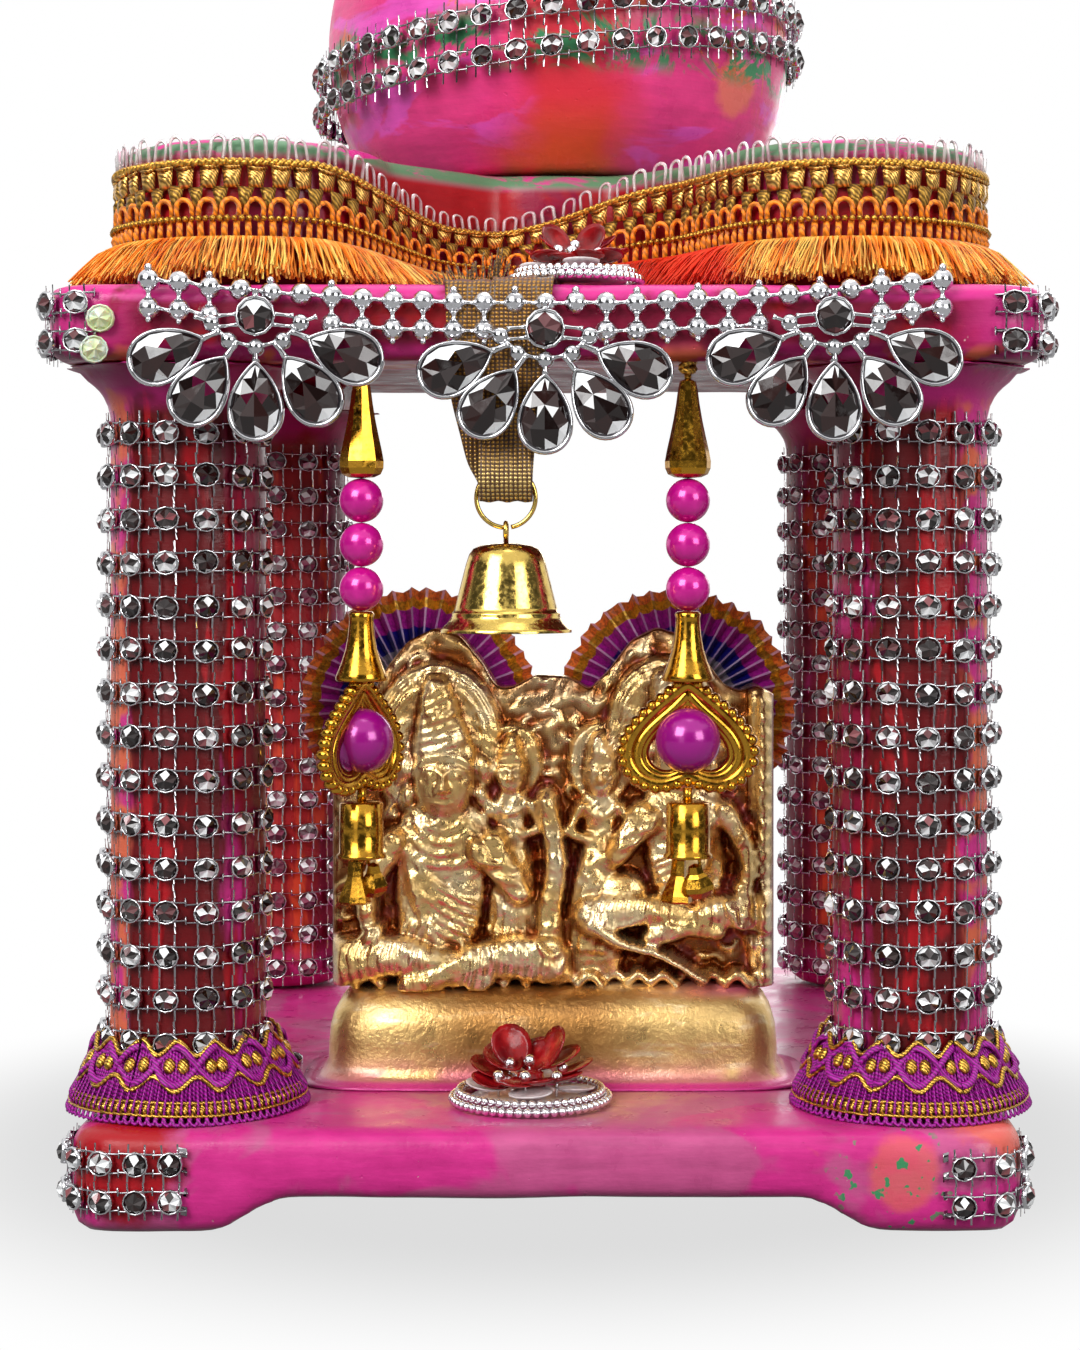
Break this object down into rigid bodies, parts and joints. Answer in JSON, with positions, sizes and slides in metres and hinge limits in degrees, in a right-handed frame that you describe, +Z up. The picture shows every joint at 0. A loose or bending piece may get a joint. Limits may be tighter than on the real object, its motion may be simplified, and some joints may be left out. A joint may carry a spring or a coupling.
{
  "type": "tabletop pooja mandir",
  "caption": "Small four-pillared household shrine with a lobed upper tier, onion dome, gold relief, hanging bell, tassels and stone trims.",
  "frame": {"origin": "middle of the shrine's footprint, on the surface that its feet stand on", "axes": "+Z up, +Y from the open front to the rear, +X to the right seen from the front"},
  "size_m": [0.1788, 0.19, 0.308],
  "materials": {
    "painted_clay": "hand-brushed satin paint on moulded clay",
    "gold_paint": "metallic gold paint",
    "silver_stones": "foiled faceted stones in silver settings",
    "silver_beads": "vacuum-plated beads",
    "purple_lace": "braided silk cord and gold cord",
    "orange_fringe": "silk thread fringe",
    "fan_ribbon": "pleated satin ribbon with gold edge",
    "red_sequins": "translucent sequin petals",
    "gold_ribbon": "woven metallic ribbon",
    "brass": "polished",
    "gold_cord": "twisted metallic cord",
    "pink_pearl": "pearl lacquer",
    "gold_plastic": "vacuum-plated gold"
  },
  "bodies": {
    "shrine": {"base": "painted_clay", "pillar_front_left": "painted_clay", "pillar_front_right": "painted_clay", "pillar_rear_left": "painted_clay", "pillar_rear_right": "painted_clay", "cornice": "painted_clay", "upper_tier": "painted_clay", "dome": "painted_clay", "dome_stone_band": "silver_stones", "finial": "gold_paint", "stone_net_front_left": "silver_stones", "stone_net_front_right": "silver_stones", "stone_net_rear_left": "silver_stones", "stone_net_rear_right": "silver_stones", "foot_lace_left": "purple_lace", "foot_lace_right": "purple_lace", "tier_fringe": "orange_fringe", "bead_garland": "silver_beads", "stone_rosette_left": "silver_stones", "stone_rosette_centre": "silver_stones", "stone_rosette_right": "silver_stones", "cornice_patch_left": "silver_stones", "cornice_patch_right": "silver_stones", "base_patch_left": "silver_stones", "base_patch_right": "silver_stones", "gold_relief": "gold_paint", "relief_seat": "gold_paint", "ribbon_fan_left": "fan_ribbon", "ribbon_fan_right": "fan_ribbon", "base_flower": "red_sequins", "roof_flower": "red_sequins", "bell_ribbon": "gold_ribbon"},
    "ring": {"bell_ring": "brass"},
    "bell": {"bell": "brass"},
    "tassel_left": {"tassel_cord_left": "gold_cord", "tassel_metal_left": "gold_plastic", "tassel_pearls_left": "pink_pearl", "tassel_heart_left": "gold_plastic", "tassel_charms_left": "gold_plastic"},
    "tassel_right": {"tassel_cord_right": "gold_cord", "tassel_metal_right": "gold_plastic", "tassel_pearls_right": "pink_pearl", "tassel_heart_right": "gold_plastic", "tassel_charms_right": "gold_plastic"}
  },
  "joints": [
    {"name": "ring_swing", "type": "hinge", "parent": "shrine", "child": "ring", "pos_m": [-0.007, -0.0835, 0.1282], "axis": [1, 0, 0], "range_deg": [-10, 10]},
    {"name": "bell_swing", "type": "hinge", "parent": "ring", "child": "bell", "pos_m": [-0.007, -0.0835, 0.123], "axis": [1, 0, 0], "range_deg": [-20, 20]},
    {"name": "tassel_left_swing", "type": "hinge", "parent": "shrine", "child": "tassel_left", "pos_m": [-0.0326, -0.0805, 0.1518], "axis": [1, 0, 0], "range_deg": [-15, 10]},
    {"name": "tassel_right_swing", "type": "hinge", "parent": "shrine", "child": "tassel_right", "pos_m": [0.0249, -0.0805, 0.1518], "axis": [1, 0, 0], "range_deg": [-15, 10]}
  ]
}
